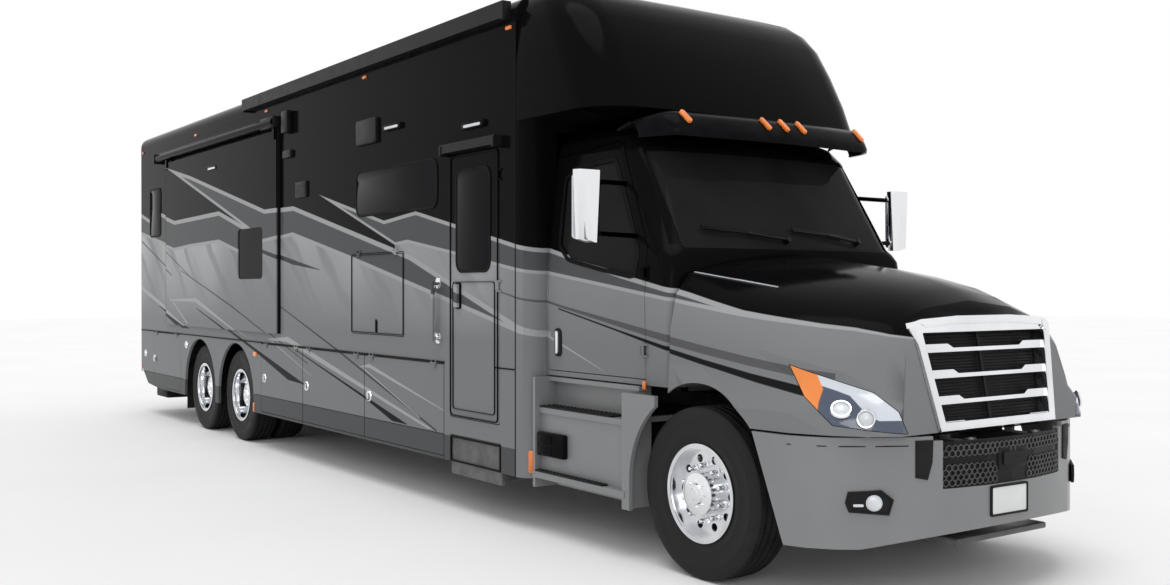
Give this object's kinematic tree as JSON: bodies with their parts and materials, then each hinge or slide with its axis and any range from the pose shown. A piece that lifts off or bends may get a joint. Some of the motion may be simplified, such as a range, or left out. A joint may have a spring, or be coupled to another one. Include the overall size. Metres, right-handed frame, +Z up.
{
  "type": "motorhome",
  "caption": "Long motorhome on a three-axle conventional truck chassis, with slide-out rooms, entry door, storage doors and a tilting hood.",
  "frame": {"origin": "on the ground, halfway between the rear wall and the bumper's front, on the middle plane", "axes": "+X forward, +Y the vehicle's left, +Z up"},
  "size_m": [13.25, 3.178, 4.1],
  "materials": {
    "frame_steel": "satin",
    "engine_iron": "matte",
    "tank_aluminium": "satin",
    "floor_board": "satin",
    "body_paint": "gloss",
    "cab_paint": "gloss",
    "roof_skin": "satin",
    "white_plastic": "satin",
    "black_trim": "satin",
    "dark_glass": "gloss",
    "seat_leather": "satin",
    "chrome": "polished",
    "lamp_glass": "gloss",
    "tyre_rubber": "matte",
    "polished_alloy": "polished"
  },
  "bodies": {
    "coach": {"chassis_frame": "frame_steel", "front_axle": "frame_steel", "drive_axles": "frame_steel", "engine_block": "engine_iron", "driveline": "frame_steel", "underbody_tanks": "tank_aluminium", "storage_bays": "frame_steel", "house_floor": "floor_board", "side_wall_right": "body_paint", "side_wall_left": "body_paint", "rear_wall": "body_paint", "roof": "roof_skin", "front_cap": "body_paint", "skirts": "body_paint", "roof_units": "white_plastic", "awnings": "black_trim", "house_windows": "dark_glass", "cab_shell": "cab_paint", "windshield": "dark_glass", "sun_visor": "cab_paint", "cab_steps": "cab_paint", "bumper": "cab_paint", "bumper_grille": "black_trim", "cab_interior": "seat_leather"},
    "hood": {"hood": "cab_paint", "grille": "chrome", "headlights": "lamp_glass"},
    "cab_door_right": {"cab_door_right": "cab_paint", "cab_door_glass_right": "dark_glass", "mirror_right": "chrome"},
    "cab_door_left": {"cab_door_left": "cab_paint", "cab_door_glass_left": "dark_glass", "mirror_left": "chrome"},
    "entry_door": {"entry_door": "body_paint", "entry_door_glass": "dark_glass"},
    "entry_step": {"entry_step": "frame_steel"},
    "slide_room_right": {"slide_room_right": "body_paint", "slide_window_right": "dark_glass"},
    "slide_room_left": {"slide_room_left": "body_paint", "slide_window_left": "dark_glass"},
    "kitchen_door": {"kitchen_door": "body_paint"},
    "bay_door_right_1": {"bay_door_right_1": "body_paint"},
    "bay_door_right_2": {"bay_door_right_2": "body_paint"},
    "bay_door_right_3": {"bay_door_right_3": "body_paint"},
    "bay_door_right_4": {"bay_door_right_4": "body_paint"},
    "bay_door_left": {"bay_door_left": "body_paint"},
    "knuckle_right": {"knuckle_right": "frame_steel"},
    "knuckle_left": {"knuckle_left": "frame_steel"},
    "front_wheel_right": {"front_tyre_right": "tyre_rubber", "front_rim_right": "polished_alloy"},
    "front_wheel_left": {"front_tyre_left": "tyre_rubber", "front_rim_left": "polished_alloy"},
    "rear_wheels_right_1": {"rear_tyres_right_1": "tyre_rubber", "rear_rims_right_1": "polished_alloy"},
    "rear_wheels_left_1": {"rear_tyres_left_1": "tyre_rubber", "rear_rims_left_1": "polished_alloy"},
    "rear_wheels_right_2": {"rear_tyres_right_2": "tyre_rubber", "rear_rims_right_2": "polished_alloy"},
    "rear_wheels_left_2": {"rear_tyres_left_2": "tyre_rubber", "rear_rims_left_2": "polished_alloy"}
  },
  "joints": [
    {"name": "steer_left", "type": "hinge", "parent": "coach", "child": "knuckle_left", "pos_m": [5.292, 0.84, 0.52], "axis": [0, 0, 1], "range_deg": [-32, 32]},
    {"name": "steer_right", "type": "hinge", "parent": "coach", "child": "knuckle_right", "pos_m": [5.292, -0.84, 0.52], "axis": [0, 0, 1], "range_deg": [-32, 32]},
    {"name": "front_wheel_left_spin", "type": "hinge", "parent": "knuckle_left", "child": "front_wheel_left", "pos_m": [5.292, 1.05, 0.52], "axis": [0, 1, 0], "continuous": true},
    {"name": "front_wheel_right_spin", "type": "hinge", "parent": "knuckle_right", "child": "front_wheel_right", "pos_m": [5.292, -1.05, 0.52], "axis": [0, 1, 0], "continuous": true},
    {"name": "rear_wheels_left_1_spin", "type": "hinge", "parent": "coach", "child": "rear_wheels_left_1", "pos_m": [-2.649, 0.925, 0.52], "axis": [0, 1, 0], "continuous": true},
    {"name": "rear_wheels_right_1_spin", "type": "hinge", "parent": "coach", "child": "rear_wheels_right_1", "pos_m": [-2.649, -0.925, 0.52], "axis": [0, 1, 0], "continuous": true},
    {"name": "rear_wheels_left_2_spin", "type": "hinge", "parent": "coach", "child": "rear_wheels_left_2", "pos_m": [-3.963, 0.925, 0.52], "axis": [0, 1, 0], "continuous": true},
    {"name": "rear_wheels_right_2_spin", "type": "hinge", "parent": "coach", "child": "rear_wheels_right_2", "pos_m": [-3.963, -0.925, 0.52], "axis": [0, 1, 0], "continuous": true},
    {"name": "hood_tilt", "type": "hinge", "parent": "coach", "child": "hood", "pos_m": [6.555, 0, 0.905], "axis": [0, 1, 0], "range_deg": [0, 60]},
    {"name": "cab_door_right_swing", "type": "hinge", "parent": "coach", "child": "cab_door_right", "pos_m": [4.695, -1.142, 1.6], "axis": [0, 0, 1], "range_deg": [0, 70]},
    {"name": "cab_door_left_swing", "type": "hinge", "parent": "coach", "child": "cab_door_left", "pos_m": [4.695, 1.142, 1.6], "axis": [0, 0, -1], "range_deg": [0, 70]},
    {"name": "entry_door_swing", "type": "hinge", "parent": "coach", "child": "entry_door", "pos_m": [3.172, -1.307, 1.7], "axis": [0, 0, 1], "range_deg": [0, 90]},
    {"name": "entry_step_slide", "type": "slide", "parent": "coach", "child": "entry_step", "axis": [0, -1, 0], "range_m": [0, 0.35]},
    {"name": "slide_room_right_slide", "type": "slide", "parent": "coach", "child": "slide_room_right", "axis": [0, -1, 0], "range_m": [0, 0.75]},
    {"name": "slide_room_left_slide", "type": "slide", "parent": "coach", "child": "slide_room_left", "axis": [0, 1, 0], "range_m": [0, 0.75]},
    {"name": "kitchen_door_lift", "type": "hinge", "parent": "coach", "child": "kitchen_door", "pos_m": [1.0865, -1.307, 2.063], "axis": [-1, 0, 0], "range_deg": [0, 85]},
    {"name": "bay_door_right_1_lift", "type": "hinge", "parent": "coach", "child": "bay_door_right_1", "pos_m": [-1.2165, -1.307, 1.142], "axis": [-1, 0, 0], "range_deg": [0, 85]},
    {"name": "bay_door_right_2_lift", "type": "hinge", "parent": "coach", "child": "bay_door_right_2", "pos_m": [0.097, -1.307, 1.142], "axis": [-1, 0, 0], "range_deg": [0, 85]},
    {"name": "bay_door_right_3_lift", "type": "hinge", "parent": "coach", "child": "bay_door_right_3", "pos_m": [1.5735, -1.307, 1.142], "axis": [-1, 0, 0], "range_deg": [0, 85]},
    {"name": "bay_door_right_4_lift", "type": "hinge", "parent": "coach", "child": "bay_door_right_4", "pos_m": [-5.375, -1.307, 1.142], "axis": [-1, 0, 0], "range_deg": [0, 85]},
    {"name": "bay_door_left_lift", "type": "hinge", "parent": "coach", "child": "bay_door_left", "pos_m": [0.405, 1.307, 1.142], "axis": [1, 0, 0], "range_deg": [0, 85]}
  ],
  "couplings": [
    {"joint": "steer_right", "follows": "steer_left", "ratio": 1}
  ]
}
